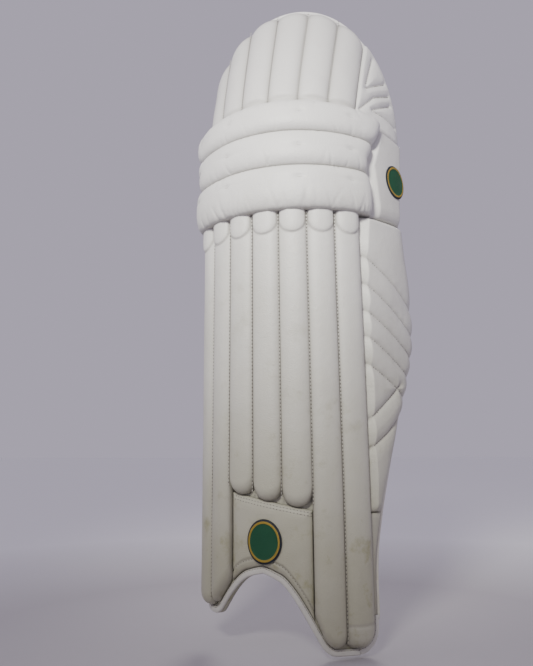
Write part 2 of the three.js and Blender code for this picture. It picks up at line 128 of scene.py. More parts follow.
class Finish:
    """A material whose nodes are added by one call each."""

    def __init__(self, name):
        self.material = bpy.data.materials.new(name)
        self.material.use_nodes = True
        self.nodes = self.material.node_tree.nodes
        self.shader = self.nodes["Principled BSDF"]

    def give(self, socket, value):
        if isinstance(value, Number):
            self.material.node_tree.links.new(value.socket, socket)
        elif isinstance(value, tuple) and len(value) == 3 and socket.type == "RGBA":
            socket.default_value = (*value, 1)
        else:
            socket.default_value = value

    def node(self, kind, settings=None, inputs=None, output=0):
        made = self.nodes.new(kind)
        for key, value in (settings or {}).items():
            if key == "stops":
                ramp = made.color_ramp.elements
                while len(ramp) < len(value):
                    ramp.new(0.5)
                for stop, (place, shade) in zip(ramp, value):
                    stop.position = place
                    stop.color = (shade, shade, shade, 1)
            else:
                setattr(made, key, value)
        for key, value in (inputs or {}).items():
            self.give(made.inputs[key], value)
        return Number(self, made.outputs[output])

    def coordinates(self):
        return self.node("ShaderNodeTexCoord", output="Object")

    def height(self):
        return self.node("ShaderNodeSeparateXYZ", {}, {0: self.coordinates()}, output=2)

    def noise(self, scale, detail=3, roughness=0.5):
        inputs = {"Vector": self.coordinates(), "Scale": scale, "Detail": detail, "Roughness": roughness}
        return self.node("ShaderNodeTexNoise", {}, inputs, output="Fac")

    def cells(self, scale):
        inputs = {"Vector": self.coordinates(), "Scale": scale}
        return self.node("ShaderNodeTexVoronoi", {}, inputs, output="Distance")

    def ribs(self, scale, distortion=0.0, direction="X"):
        """Stripes on the cut cloth, laid out at 100 mm to a unit."""
        cut = self.node("ShaderNodeUVMap", {"uv_map": "cut"}, output="UV")
        inputs = {"Vector": cut, "Scale": scale, "Distortion": distortion}
        return self.node("ShaderNodeTexWave", {"bands_direction": direction}, inputs, output="Fac")

    def steps(self, value, *stops):
        return self.node("ShaderNodeValToRGB", {"stops": stops}, {0: value})

    def blend(self, share, first, second):
        return self.node("ShaderNodeMix", {"data_type": "RGBA"}, {0: share, 6: first, 7: second}, output=2)

    def attribute(self, name):
        return self.node("ShaderNodeAttribute", {"attribute_name": name}, output="Fac")

    def bumps(self, height, depth, under=None):
        inputs = {"Height": height, "Distance": depth, "Strength": 1.0}
        if under:
            inputs["Normal"] = under
        return self.node("ShaderNodeBump", {}, inputs, output="Normal")

    def dress(self, colour, roughness, normal, **plain):
        self.give(self.shader.inputs["Base Color"], colour)
        self.give(self.shader.inputs["Roughness"], roughness)
        self.give(self.shader.inputs["Normal"], normal)
        for name, value in plain.items():
            self.give(self.shader.inputs[name.replace("_", " ")], value)
        return self.material


paint = Finish("pale_floor_with_painted_light")
away = paint.node("ShaderNodeVectorMath", {"operation": "LENGTH"}, {0: paint.coordinates()}, output="Value")
tone = paint.blend(paint.noise(3), (0.45, 0.43, 0.45), (0.49, 0.47, 0.49))
# Past 0.4 m from the middle the floor is painted lighter, nearly white past 1 m: painted light, making up for the
# lamps' light falling off so that the far floor matches the backdrop.
tone = paint.blend(paint.steps(away, (0.4, 0.0), (1.0, 1.0)), tone, (0.97, 0.97, 0.98))
floor_with_painted_light = paint.dress(tone, 0.97, paint.bumps(paint.noise(90), 0.0004), Specular_IOR_Level=0.1)
floor_size, floor_level = 60, -0.004
bpy.ops.mesh.primitive_plane_add(size=floor_size, location=(0, 0, floor_level))
floor = bpy.context.object
floor.name = "floor"
floor.data.materials.append(floor_with_painted_light)
bpy.ops.object.select_all(action="DESELECT")

# Backing
# The pad's body is one stiff sheet of foam and cloth, moulded round the front of the leg. Its outline gives
# the dome over the knee, both wings, the notch over the shoe and the two feet. The lining faces the leg.
# The sheet is laid out flat, in millimetres across and along the leg, and then wrapped.
padding_depth, backing_wall = 12, 6
shin_length, knee_height, dome_foot, dome_rise = 480, 119, 13, 153
outer_wing, inner_wing, foot_rim = 114, 50, 12
roll_pitch, roll_count = 33, 7
leg_depth = 75
knee_top = shin_length + knee_height
dome_start = knee_top + dome_foot
roll_span = roll_pitch * roll_count / 2
binding_width = 7
notch_top, notch_shift, foot_corner, inner_foot_rise = 80, -8, 26, 30

# Each table holds a shape's rows: where each is, and what it has there.
spread = {"at": [0, 0.4, 1, 1.7], "share": [1.03, 1.02, 0.98, 0.94]}
turn = {"at": [0, 1, 2, 3, 3.5, 5, 6.7, 8], "degrees": [0, 15, 30, 45, 52, 68, 85, 98]}
lean = {"at": [0, 1, 1.12, 1.24, 1.33, 1.45, 1.7], "degrees": [0, 0, 3, 8, 14, 17, 17]}
wing = {
    "at": [0, 0.19, 0.3, 0.4, 0.5, 0.6, 0.69, 0.745, 0.84, 1, 1.12, 1.27, 1.7],
    "share": [0, 0, 0.11, 0.28, 0.49, 0.76, 0.96, 1, 0.93, 0.78, 0.82, 0.85, 0.85],
}
notch = {
    "at": [0, 0.35, 0.7, 1.06, 1.42, 1.78, 2.05, 2.45, 8],
    "height": [1, 0.95, 0.87, 0.7, 0.48, 0.24, 0.08, 0, 0],
}


def through(table, column, at):
    """Smooth line through a table's rows."""
    places, values = np.array(table["at"], float), np.array(table[column], float)
    last = len(places) - 1
    ends = [(max(k - 1, 0), min(k + 1, last)) for k in range(last + 1)]
    slopes = np.array([(values[b] - values[a]) / (places[b] - places[a]) for a, b in ends])
    at = np.asarray(at, float)
    j = np.clip(np.searchsorted(places, at, side="right") - 1, 0, last - 1)
    span = places[j + 1] - places[j]
    t = np.clip((at - places[j]) / span, 0, 1)
    rise = values[j] * (1 + 2 * t) + span * slopes[j] * t
    fall = values[j + 1] * (3 - 2 * t) - span * slopes[j + 1] * (1 - t)
    return rise * (1 - t) ** 2 + fall * t**2


lengths = np.arange(0, 800.0, 1.0)
middles = lengths[:-1] + 0.5


def summed(steps):
    return np.concatenate([[0], np.cumsum(steps)])


leaning = np.radians(through(lean, "degrees", middles / shin_length))
side_back, side_up = summed(np.sin(leaning)), summed(np.cos(leaning))
turning = np.radians(through(turn, "degrees", middles / roll_pitch))
round_side, round_back = summed(np.cos(turning)), summed(np.sin(turning))


def wrap(across, along, out):
    """Places on the leg, in metres, of places on the flat layout."""
    across = np.asarray(across) * through(spread, "share", np.asarray(along) / shin_length)
    angle = np.sign(across) * np.radians(through(turn, "degrees", np.abs(across) / roll_pitch))
    beyond = np.asarray(out) - padding_depth
    side = np.sign(across) * np.interp(np.abs(across), lengths, round_side) + beyond * np.sin(angle)
    depth = np.interp(np.abs(across), lengths, round_back) - beyond * np.cos(angle)
    tip = np.radians(through(lean, "degrees", np.asarray(along) / shin_length))
    back = np.interp(along, lengths, side_back) + depth * np.cos(tip) - leg_depth
    up = np.interp(along, lengths, side_up) + np.minimum(along, 0) - depth * np.sin(tip)
    return np.stack(np.broadcast_arrays(side, back, up), axis=-1) / 1000


def edge(along, side):
    widest = outer_wing if side > 0 else inner_wing
    wide = foot_rim + (widest - foot_rim) * through(wing, "share", np.asarray(along) / shin_length)
    return side * (roll_span + wide)


dome_middle = float(edge(dome_start, 1) + edge(dome_start, -1)) / 2
dome_half = float(edge(dome_start, 1) - edge(dome_start, -1)) / 2


def dome_top(across):
    return dome_start + dome_rise * np.sqrt(np.maximum(0, 1 - ((across - dome_middle) / dome_half) ** 2))


def dome_edge(along, side):
    over = np.clip((np.asarray(along) - dome_start) / dome_rise, 0, 1)
    return np.where(over > 0, dome_middle + side * dome_half * np.sqrt(1 - over**2), edge(along, side))


def foot_bottom(across):
    inward = np.where(across < notch_shift, inner_foot_rise, 0)
    share = through(notch, "height", np.abs(across - notch_shift) / roll_pitch)
    beyond = np.clip(np.abs(across) - (roll_span + foot_rim - foot_corner), 0, foot_corner)
    corner = foot_corner - np.sqrt(foot_corner**2 - beyond**2)
    return inward + (notch_top - inward) * share + corner


def binding_top(across):
    slope = foot_bottom(across + 0.5) - foot_bottom(across - 0.5)
    return foot_bottom(across) + binding_width * np.hypot(1, slope) + 0.5


def ramp(value, low, high):
    t = np.clip((value - low) / (high - low), 0, 1)
    return t * t * (3 - 2 * t)


def bell(distance, width):
    return np.exp(-((distance / width) ** 2))


def to_lines(across, along, lines):
    """Distance of places on the layout to the nearest of the lines, each of which runs through its points."""
    best = np.full(np.shape(across), 1e9)
    for (x0, y0), (x1, y1) in (ends for points in lines for ends in zip(points, points[1:])):
        dx, dy = x1 - x0, y1 - y0
        t = np.clip(((across - x0) * dx + (along - y0) * dy) / (dx * dx + dy * dy), 0, 1)
        best = np.minimum(best, np.hypot(across - x0 - t * dx, along - y0 - t * dy))
    return best


def waves(seed, across, along, size):
    """Slow unevenness of hand-filled padding, between -1 and 1."""
    chance = np.random.default_rng(seed)
    total, count = 0, 7
    for _ in range(count):
        heading, phase = chance.uniform(0, math.tau, 2)
        pace = math.tau / (size * chance.uniform(0.6, 1.7))
        total = total + np.sin(pace * (across * math.cos(heading) + along * math.sin(heading)) + phase)
    return total / count


def piece_from(name, places, faces, finishes, soil=None, flat=None, face_finish=None):
    mesh = bpy.data.meshes.new(name)
    mesh.from_pydata([tuple(p) for p in places], [], faces)
    mesh.update()
    mesh.polygons.foreach_set("use_smooth", [True] * len(faces))
    for finish in finishes:
        mesh.materials.append(finish)
    if face_finish is not None:
        mesh.polygons.foreach_set("material_index", face_finish)
    if soil is not None:
        mesh.attributes.new("soil", "FLOAT", "POINT").data.foreach_set("value", soil)
    if flat is not None:
        corner = np.zeros(len(mesh.loops), int)
        mesh.loops.foreach_get("vertex_index", corner)
        mesh.uv_layers.new(name="cut").data.foreach_set("uv", (flat[corner] / 100).ravel())
    piece = bpy.data.objects.new(name, mesh)
    bpy.context.collection.objects.link(piece)
    return piece


def upholster(name, across, along, out, seat, finishes, soil, under_finish=0):
    """A closed padded form from grids of its upper side and of the painted shade and dirt on it; seat is how far
    out its underside lies.
    """
    rows, columns = across.shape
    upper = wrap(across, along, out).reshape(-1, 3)
    lower = wrap(across, along, np.broadcast_to(seat, across.shape)).reshape(-1, 3)
    index = np.arange(rows * columns).reshape(rows, columns)
    count = rows * columns
    quads = np.stack([index[:-1, :-1], index[:-1, 1:], index[1:, 1:], index[1:, :-1]], axis=-1).reshape(-1, 4)
    under = quads[:, ::-1] + count
    rim = np.concatenate([index[0, :], index[1:, -1], index[-1, -2::-1], index[-2:0:-1, 0]])
    after = np.roll(rim, -1)
    wall = np.stack([rim, rim + count, after + count, after], axis=-1)
    faces = np.concatenate([quads, under, wall])
    # The underside is fully darkened: painted shade under the piece.
    grime_and_shade_values = np.concatenate([np.clip(soil, 0, 1).ravel(), np.ones(count)])
    flat = np.stack([across.ravel(), along.ravel()], axis=-1)
    face_finish = np.repeat([0, under_finish, 0], [len(quads), len(under), len(wall)])
    places = np.concatenate([upper, lower])
    return piece_from(name, places, faces.tolist(), finishes, grime_and_shade_values, np.concatenate([flat, flat]), face_finish)


def unit(run):
    return run / np.linalg.norm(run, axis=-1, keepdims=True)


def along_path(path, t, ahead):
    """Places on a path at shares t of it, and its heading there."""
    return path(t), unit(path(np.minimum(t + ahead, 1)) - path(np.maximum(t - ahead, 0)))


def tube_faces(rows, around, turned_round=False):
    """Faces of a closed tube of rings, with a cap at both ends."""
    index = np.arange(rows * around).reshape(rows, around)
    after = np.roll(index, -1, axis=1)
    quads = np.stack([index[:-1], index[1:], after[1:], after[:-1]], axis=-1).reshape(-1, 4)
    caps = [index[0], index[-1, ::-1]]
    if turned_round:
        quads, caps = quads[:, [0, 3, 2, 1]], [cap[::-1] for cap in caps]
    return quads.tolist() + [cap.tolist() for cap in caps]


def fit(piece, nodes):
    """The piece takes the place of its plain solids and moves with the pad."""
    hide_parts(*nodes)
    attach(piece, "root")


def pillow(distance, reach):
    """Rise of stuffed cloth beside a line of stitches, from 0 at the line to 1."""
    t = np.clip(distance / reach, 0, 1)
    return np.sqrt(1 - (1 - t) ** 2)


def rounded(share, power=2):
    """A round back over shares from 0 to 1."""
    return np.sqrt(np.maximum(0, 1 - np.abs(2 * share - 1) ** power))


def between(count, crowd=0.0):
    """Stations from 0 to 1, closer together near both ends."""
    t = np.linspace(0, 1, count)
    return (1 - crowd) * t + crowd * (1 - np.cos(np.pi * t)) / 2


def laid_out(columns, rows, low, high):
    """Shares across a piece, and how far along the leg each place of its grid lies."""
    share, height = np.meshgrid(columns, rows)
    return share, low + (high - low) * height


def coated_cloth(name, light=0.0, low_grime_and_falloff_colour=(0.275, 0.265, 0.12)):
    """White coated cloth: light is added where it is clean, and the last colour is the one it takes near the
    ground, darker and warmer there as dirt and as painted shade.
    """
    cloth = Finish(name)
    patches, soil = cloth.noise(7, 4, 0.6), cloth.attribute("soil")
    marks = cloth.steps(cloth.noise(34, 5, 0.65), (0.56, 0.0), (0.74, 1.0))
    # Towards the bottom the cloth darkens to its colour near the ground: dirt, and painted shade for the light
    # falling off downwards.
    low_grime_and_falloff = cloth.steps(cloth.height() * 1.5 + patches * 0.4, (0.30, 1.0), (1.0, 0.0))
    dull, bright = (tuple(part + light for part in tone) for tone in ((0.76, 0.755, 0.73), (0.81, 0.805, 0.785)))
    shade = cloth.blend(patches, dull, bright)
    shade = cloth.blend(low_grime_and_falloff * (0.72 + marks * 0.28), shade, low_grime_and_falloff_colour)
    # Painted shade, with some dirt in the seams: the pieces' stored values darken seams, grooves, creases,
    # undersides and faces turned from the lamps.
    shade = cloth.blend(soil * 0.75, shade, (0.27, 0.255, 0.225))
    shade = cloth.blend(marks * 0.07, shade, (0.40, 0.38, 0.35))
    pores = cloth.bumps(cloth.cells(850.0), 0.00022)
    normal = cloth.bumps(cloth.noise(110, 3, 0.5), 0.0005, pores)
    normal = cloth.bumps(cloth.noise(18, 2, 0.4), 0.0012, normal)
    return cloth.dress(shade, 0.40 + patches * 0.12 + soil * 0.2, normal, Coat_Weight=0.08, Coat_Roughness=0.35)


def woven(name, patches, tones, relief, shadow, roughness, depth, sheen):
    """A cloth with threads: relief gives their height and the share of shadow between them."""
    cloth = Finish(name)
    patches = cloth.noise(*patches)
    height, dark = relief(cloth)
    shade = cloth.blend(dark, cloth.blend(patches, *tones), shadow)
    return cloth.dress(shade, roughness - patches * 0.04, cloth.bumps(height, depth), Sheen_Weight=sheen)


def brushed(cloth):
    threads = cloth.ribs(32.0, 0.6, "DIAGONAL")
    return threads + cloth.noise(700, 2) * 0.7, threads * 0.16


facing = coated_cloth("white_coated_cloth")
lining = woven(
    "brushed_lining", (9, 4, 0.6), ((0.60, 0.60, 0.60), (0.68, 0.68, 0.67)), brushed, (0.42, 0.42, 0.43),
    roughness=0.92, depth=0.00028, sheen=0.15,
)

hem_inset, seam_width, seam_count = 12, 1.6, roll_count + 1
hem_rise, seam_rise, edge_thinned, sheet_width, sheet_height = 1.1, 0.9, 1.4, 280, 620


def from_edge_to_edge(at, share):
    return edge(at, -1) + (edge(at, 1) - edge(at, -1)) * share


u, v = np.meshgrid(between(150, 0.35), between(260, 0.25))
low, high = foot_bottom(from_edge_to_edge(0, u)), dome_top(from_edge_to_edge(dome_start, u))
along = low + (high - low) * v
across = from_edge_to_edge(along, u)
inset = np.minimum(np.minimum(u, 1 - u) * sheet_width, np.minimum(v, 1 - v) * sheet_height)
hem = hem_rise * bell(inset - hem_inset, seam_width)
on_shin = ramp(along, 60, 75) * ramp(shin_length + 4 - along, 0, 12)
for k in range(seam_count):
    hem = np.maximum(hem, seam_rise * bell(across - (k - roll_count / 2) * roll_pitch, seam_width) * on_shin)
thin = edge_thinned * (1 - ramp(inset, 0, 5))
inner_side = -backing_wall + thin + hem + 0.35 * waves(3, across, along, 70) - 0.4
# The hem's seam is painted darker: painted shade in its groove, with some dirt.
backing = upholster(
    "backing_sheet", across, along, 0 - thin * 0.3, inner_side, [facing, lining],
    0.55 * bell(inset - hem_inset, seam_width), under_finish=1,
)
fit(backing, ["backing"])

# Shin rolls
# Seven upright channels of coated cloth over foam and cane, sewn down between one another. The middle three
# end in rounded tips over the instep; each has a thicker second layer at its top, under the knee.
roll_crown, roll_edge, roll_seat, roll_overlap = 14, 8, 0.4, 5
finger_length, finger_rise, finger_reach = 34, 2.6, 15.2
tip_length, tip_gap, short_tip_drop, long_tip_drop = 13, 0.5, 15, 7
instep_middle, instep_fall, short_places, end_patch = 154, 0.18, 1.6, 30
patch_cloth = coated_cloth("white_patch_cloth", 0.02, (0.30, 0.29, 0.16))


def instep_line(across):
    """The seam under the short rolls slants down to the outer side."""
    return instep_middle - instep_fall * across


def shin_roll(number):
    place = number - (roll_count + 1) / 2
    is_short = abs(place) < short_places
    stations = np.unique(np.concatenate([
        np.linspace(0, 30, 22), np.linspace(30, 330 if is_short else 430, 60), 470 - np.linspace(0, 60, 46)
    ]))
    share, height = np.meshgrid(between(26, 0.75), (stations - stations[0]) / (stations[-1] - stations[0]))
    half = roll_pitch / 2 - 0.05
    across = place * roll_pitch + (2 * share - 1) * half
    profile = (1 - np.abs(2 * share - 1) ** 2.4) ** 0.62
    drop = short_tip_drop if is_short else long_tip_drop
    foot = instep_line(place * roll_pitch) if is_short else binding_top(across)
    foot = foot + tip_gap + drop * (1 - rounded(share))
    along = foot + (shin_length + roll_overlap - foot) * height
    tip_middle = shin_length - finger_length + 15
    beside = np.abs(across - place * roll_pitch)
    into_finger = finger_reach - np.where(along < tip_middle, np.hypot(beside, along - tip_middle), beside)
    finger = finger_rise * (0.3 * ramp(into_finger, 0, 1.0) + 0.7 * pillow(into_finger, 12))
    tip = pillow(along - foot, tip_length)
    full = roll_edge * (0.4 + 0.6 * tip) + (roll_crown - roll_edge) * profile * (0.1 + 0.9 * tip) + finger
    uneven = 0.5 * profile * waves(20 + number, across, along, 95)
    slack_here = np.maximum(0, waves(150 + number, across, along, 120))
    uneven = uneven + 0.25 * profile * slack_here * waves(130 + number, across * 0.25, along, 20)
    lip = bell(into_finger, 1.2) * (into_finger < 1) * (along < shin_length - 4)
    # Darker towards the seams between rolls, under the fingers' lip and at the tips: painted shade, with some
    # dirt in the seams.
    soil = (1 - profile) ** 2 * 0.75 + 0.5 * lip + 0.5 * (1 - tip)
    full = full + uneven
    if number == roll_count:
        full = full + profile * ramp(end_patch - along, 0, 2.0)
        # The patch's seam is painted darker: painted shade in its groove.
        soil = soil + 0.7 * bell(along - end_patch - 1, 1.5)
    roll = upholster(f"shin_roll_padding_{number}", across, along, full, roll_seat, [facing], soil)
    if number == roll_count:
        roll.data.materials.append(patch_cloth)
        on_patch = (along[:-1, :-1] < end_patch - 1).ravel().astype(int)
        rest = len(roll.data.polygons) - on_patch.size
        roll.data.polygons.foreach_set("material_index", np.pad(on_patch, (0, rest)))
    fit(roll, [f"shin_roll_{number}"])


for number in range(1, roll_count + 1):
    shin_roll(number)

# Top rolls
# Six softer channels above the knee, spreading upwards to the edge of the dome. A line of stitches nips
# each one just above the knee bolsters, so that a small bulb stands out below it.
top_count, top_pitch_low, top_pitch_high, top_crown, top_edge, bulb_length = 6, 38, 42.5, 12.5, 8, 15
top_low, under_bolster, dome_gap, end_length = knee_top + 1, 3, 5.5, 15


def top_pitch(along):
    share = (np.asarray(along) - top_low) / (dome_start + dome_rise - top_low)
    return top_pitch_low + (top_pitch_high - top_pitch_low) * share


def top_roll(number):
    place = number - (top_count + 1) / 2
    share, height = np.meshgrid(between(32, 0.7), between(110, 0.3))
    reach = dome_top((place - 0.5 + share) * top_pitch_high) - dome_gap - 5 * (1 - rounded(share))
    along = top_low - under_bolster + (reach - top_low + under_bolster) * height
    across = (place + (share - 0.5) * 0.998) * top_pitch(along)
    profile = (1 - np.abs(2 * share - 1) ** 2) ** 0.75
    nip = bell(along - (top_low + bulb_length), 3.4)
    end = pillow(reach - along, end_length)
    full = top_edge * (0.45 + 0.55 * end) + (top_crown - top_edge) * profile * (0.2 + 0.8 * end)
    full = full - 3.0 * nip * profile + 0.9 * profile * waves(40 + number, across, along, 60)
    # Darker towards the seams, in the nip, at the rolls' ends by the piping and a little all over: painted shade,
    # with some dirt in the seams.
    soil = (1 - profile) ** 2 * 0.8 + 0.32 * nip + 0.95 * (1 - end) + 0.12
    roll = upholster(f"top_roll_padding_{number}", across, along, full, roll_seat, [facing], soil)
    fit(roll, [f"top_roll_{number}"])


for number in range(1, top_count + 1):
    top_roll(number)

# Knee bolsters
# Three fat rolls of soft fibre in coated cloth, laid round the knee. They are tacked through in a few places,
# which leaves dimples, and their long seams are gathered, which puckers them.
bolster_crown, bolster_valley, bolster_end, bolster_seat = 26.5, 17.5, 24, 0.5
pressure, most_moved, cloth_frames, smoothing = 2.5, 3.0, 22, 3
low_crease, top_crease = (1.3, 13), (1.1, 9)  # depth and greatest length
bolster_rows = {
    "name": ["lower", "middle", "upper"],
    "low": [0, 0.355, 0.71],
    "high": [0.355, 0.71, 1],
    "tack": [0.62, 0.5, 0.62],
    "hang": [8.5, 0, 0],
    "lift": [0, 0, 5],
    "creases": [(36, 9), (11, 10), (10, 26)],
}
knee_side = {"at": [0, 0.5, 1], 1: [0.52, 0.32, 1.1], -1: [0.15, -0.15, 0.4]}
tack_places = [-98, -42, 42, 98]


def knee_edge(along, side):
    share = (np.asarray(along) - shin_length) / knee_height
    return roll_span + roll_pitch * np.interp(share, knee_side["at"], knee_side[side])


def creases(seed, count, across, up, longest):
    """Short folds that start at a gathered seam; up is the height over it."""
    chance = np.random.default_rng(seed)
    folds = 0.0
    for _ in range(count):
        place, slant, wide = chance.uniform(-125, 125), chance.uniform(-0.7, 0.7), chance.uniform(0.9, 2.2)
        long, deep = longest * chance.uniform(0.3, 1), chance.uniform(0.3, 1)
        folds = folds + deep * bell(across - place - slant * up, wide) * bell(np.maximum(up - 1, 0), long)
    return np.minimum(folds, 1.3)


def stuff(piece, columns):
    """Blow the piece up like stuffed cloth, held along its seams; no point moves further than most_moved."""
    mesh = piece.data
    start = np.zeros(len(mesh.vertices) * 3)
    mesh.vertices.foreach_get("co", start)
    bpy.context.view_layer.objects.active = piece
    cloth = piece.modifiers.new("stuffing", "CLOTH")
    settings = {
        "quality": 5, "mass": 0.25, "tension_stiffness": 20, "compression_stiffness": 20, "bending_stiffness": 12,
        "vertex_group_mass": "held", "use_pressure": True, "uniform_pressure_force": pressure,
    }
    for key, value in settings.items():
        setattr(cloth.settings, key, value)
    cloth.settings.effector_weights.gravity = 0
    cloth.collision_settings.use_collision = False
    for tick in range(1, cloth_frames):
        bpy.context.scene.frame_set(tick)
    blown = piece.evaluated_get(bpy.context.evaluated_depsgraph_get())
    end = np.zeros(len(mesh.vertices) * 3)
    blown.data.vertices.foreach_get("co", end)
    piece.modifiers.remove(cloth)
    bpy.context.scene.frame_set(1)
    moved = (end - start).reshape(-1, columns, 3)
    for _ in range(smoothing):
        moved[1:-1, 1:-1] = (
            moved[1:-1, 1:-1] * 2 + moved[:-2, 1:-1] + moved[2:, 1:-1] + moved[1:-1, :-2] + moved[1:-1, 2:]
        ) / 6
    moved = moved.reshape(-1, 3)
    far = np.linalg.norm(moved, axis=1, keepdims=True)
    moved *= np.minimum(1, most_moved / 1000 / np.maximum(far, 1e-9))
    mesh.vertices.foreach_set("co", (start.reshape(-1, 3) + moved).ravel())
    mesh.update()


def hold(piece, grips):
    """Seams and undersides don't move: grips holds 1 there, for each point of the piece."""
    group = piece.vertex_groups.new(name="held")
    for k in np.nonzero(grips > 0.01)[0]:
        group.add([int(k)], float(min(grips[k], 1)), "REPLACE")


def bolster(k):
    row = {key: column[k] for key, column in bolster_rows.items()}
    base_low, base_high = (shin_length + row[key] * knee_height for key in ("low", "high"))
    stations, around = between(210, 0.2), between(36, 0.6)
    share_across, share = np.meshgrid(stations, around)
    along = base_low + (base_high - base_low) * share
    inner, outer = 0.2 - knee_edge(along, -1), knee_edge(along, 1) - 0.2
    across = inner + (outer - inner) * share_across
    profile = (1 - np.abs(2 * share - 1) ** 3.0) ** 0.5
    to_end = np.minimum(outer - across, across - inner)
    full_end = pillow(to_end, bolster_end)
    valley = bolster_valley * (0.4 + 0.6 * full_end)
    full = valley + (bolster_crown - valley) * profile * (0.1 + 0.9 * full_end)
    hang, lift = row["hang"] * (1 - share) ** 3, row["lift"] * share**3
    low_creases, top_creases = row["creases"]
    full = full - low_crease[0] * creases(70 + k, low_creases, across, along - base_low, low_crease[1])
    full = full - top_crease[0] * creases(80 + k, top_creases, across, base_high - along, top_crease[1])
    full = full + 1.0 * profile * waves(60 + k, across, along, 75)
    tack_along = base_low + (base_high - base_low) * row["tack"]
    # Darker in the seams and, below, in the tack dimples: painted shade.
    grime_and_shade_values = (1 - profile) ** 2
    grips = ((share < 0.02) | (share > 0.98) | (to_end / bolster_end < 0.02)).astype(float)
    for tack in tack_places:
        away = np.hypot((across - tack) / 1.5, along - tack_along)
        crease = bell(along - tack_along + 0.04 * (across - tack), 1.6) * bell(across - tack, 17)
        full = full - 1.1 * bell(away, 3.0) - 0.5 * crease
        grime_and_shade_values = grime_and_shade_values + 0.15 * bell(away, 2.0)
        grips = np.maximum(grips, away < 2.5)
    name = f"knee_bolster_padding_{row['name']}"
    piece = upholster(name, across, along - hang + lift, full, bolster_seat, [facing], 0.75 * grime_and_shade_values)
    hold(piece, np.concatenate([grips.ravel(), np.ones(grips.size)]))
    stuff(piece, len(stations))
    fit(piece, [f"knee_bolster_{row['name']}"])


for k in range(3):
    bolster(k)

# Knee panels
# A five-sided foam panel in coated cloth lies on each side of the bolsters. Its inner wall slopes down to them,
# and outside it runs a flat band that is sewn down beside the piping.
wing_words = {1: "outer", -1: "inner"}
panel_drop, knee_band, band_thickness = 8, 13, 4
side_gap, seam_gap, wing_seat = 0.4, 0.3, 0.5
panel_crown = {1: 15, -1: 7}


def reach_of(along, side):
    return side * dome_edge(along, side) - 1.5


def wing_piece(kind, side, across, along, out, soil):
    """A wing's panel; across is counted outwards from the pad's middle."""
    order = slice(None) if side > 0 else slice(None, None, -1)
    across, along, out, soil = (np.asarray(grid)[:, order] for grid in (side * across, along, out, soil))
    panel = upholster(f"{kind}_padding_{wing_words[side]}", across, along, out, wing_seat, [facing], soil)
    fit(panel, [f"{kind}_{wing_words[side]}"])


def knee_panel(side):
    low, high = shin_length - panel_drop + seam_gap, knee_top - seam_gap
    columns = np.unique(np.concatenate([between(60), 0.86 + 0.04 * between(14)]))
    share, along = laid_out(columns, between(110, 0.35), low, high)
    inner, outer = knee_edge(along, side) + side_gap, reach_of(along, side)
    band = outer - knee_band
    flat = inner + (outer - inner) * share
    wall = np.interp((along - shin_length) / knee_height, [0, 0.5, 1], [14, 13, 5]) * (1 if side > 0 else 0.5)
    from_inner = np.clip((flat - inner) / wall, 0, 1)
    to_end = np.minimum(along - low, high - along)
    rising = np.where(from_inner < 0.95, 0.25 + from_inner * 0.75 / 0.95, 1)
    full = rising * pillow(band - flat, 7) * (0.3 + 0.7 * pillow(to_end, 16))
    out = band_thickness - 1.6 * (1 - pillow(to_end, 2.5)) + (panel_crown[side] - band_thickness) * full
    out = out + 0.7 * full * waves(90 + side, flat, along, 60)
    out = out - bell(flat - band - 1, 1.4) - 0.6 * bell(flat - outer + 2.5, 1.2) - 1.8 * bell(outer - flat, 1.0)
    # Darker in the seam beside the band, at the ends, at the foot of the wall and at the piping: painted shade;
    # past the wall the face is darker too, as painted shade for its turning from the lamps and as yellowish dirt.
    soil = 0.55 * bell(flat - band - 1, 2.2) + 0.35 * (1 - np.clip(to_end / 2.5, 0, 1))
    soil = soil + 0.3 * bell(from_inner, 0.12) + 0.6 * bell(outer - flat, 1.5)
    soil = soil + 0.28 * ramp(flat - inner - wall, -1, 3)
    wing_piece("knee_panel", side, flat, along, out, soil)


# Upper wings
# Stitched padding beside the top rolls, up to the dome. The outer one is quilted with short crossing lines.
wing_sheet, rim_width, rim_inset, upper_width = 3.5, 3, 2.5, 8.5
outer_round, inner_round, low_round, high_round = 22, 6, 7, 9
upper_groove, calf_groove = (4.0, 12, 1.3), (4.8, 15, 0.8)  # depth, reach and softness
wing_crown = {1: 11, -1: 7}
upper_lines = {
    1: [
        [(13, 68), (18, 116)], [(13, 62), (46, 93)], [(7, 22), (28, 55), (56, 78)], [(28, 33), (61, 63)],
        [(29, 32), (48, 34), (79, 35)],
    ],
    -1: [[(6, 30), (20, 58), (26, 92)]],
}


def top_side(along):
    return top_count / 2 * top_pitch(along)


def groove(away, depth, reach, soft):
    """How far the cloth is drawn in beside a quilting line; soft rounds the bottom of the groove."""
    return depth * (pillow(np.hypot(away, soft) - soft, reach) - 1)


def at_rim(outer, flat, depth):
    """The edge of a wing, pressed down where it is sewn to the piping."""
    return depth * ramp(rim_width - outer + flat, 0, rim_width / 2)


def wing_grime_and_shade(away, inner, outer, flat, share=0.5):
    """Painted shade, with some dirt, in the quilting, at the piping and beside the rolls."""
    return 0.5 * bell(away, 1.0) + 0.7 * bell(outer - flat, 2.2) + share * (1 - pillow(flat - inner, 4))


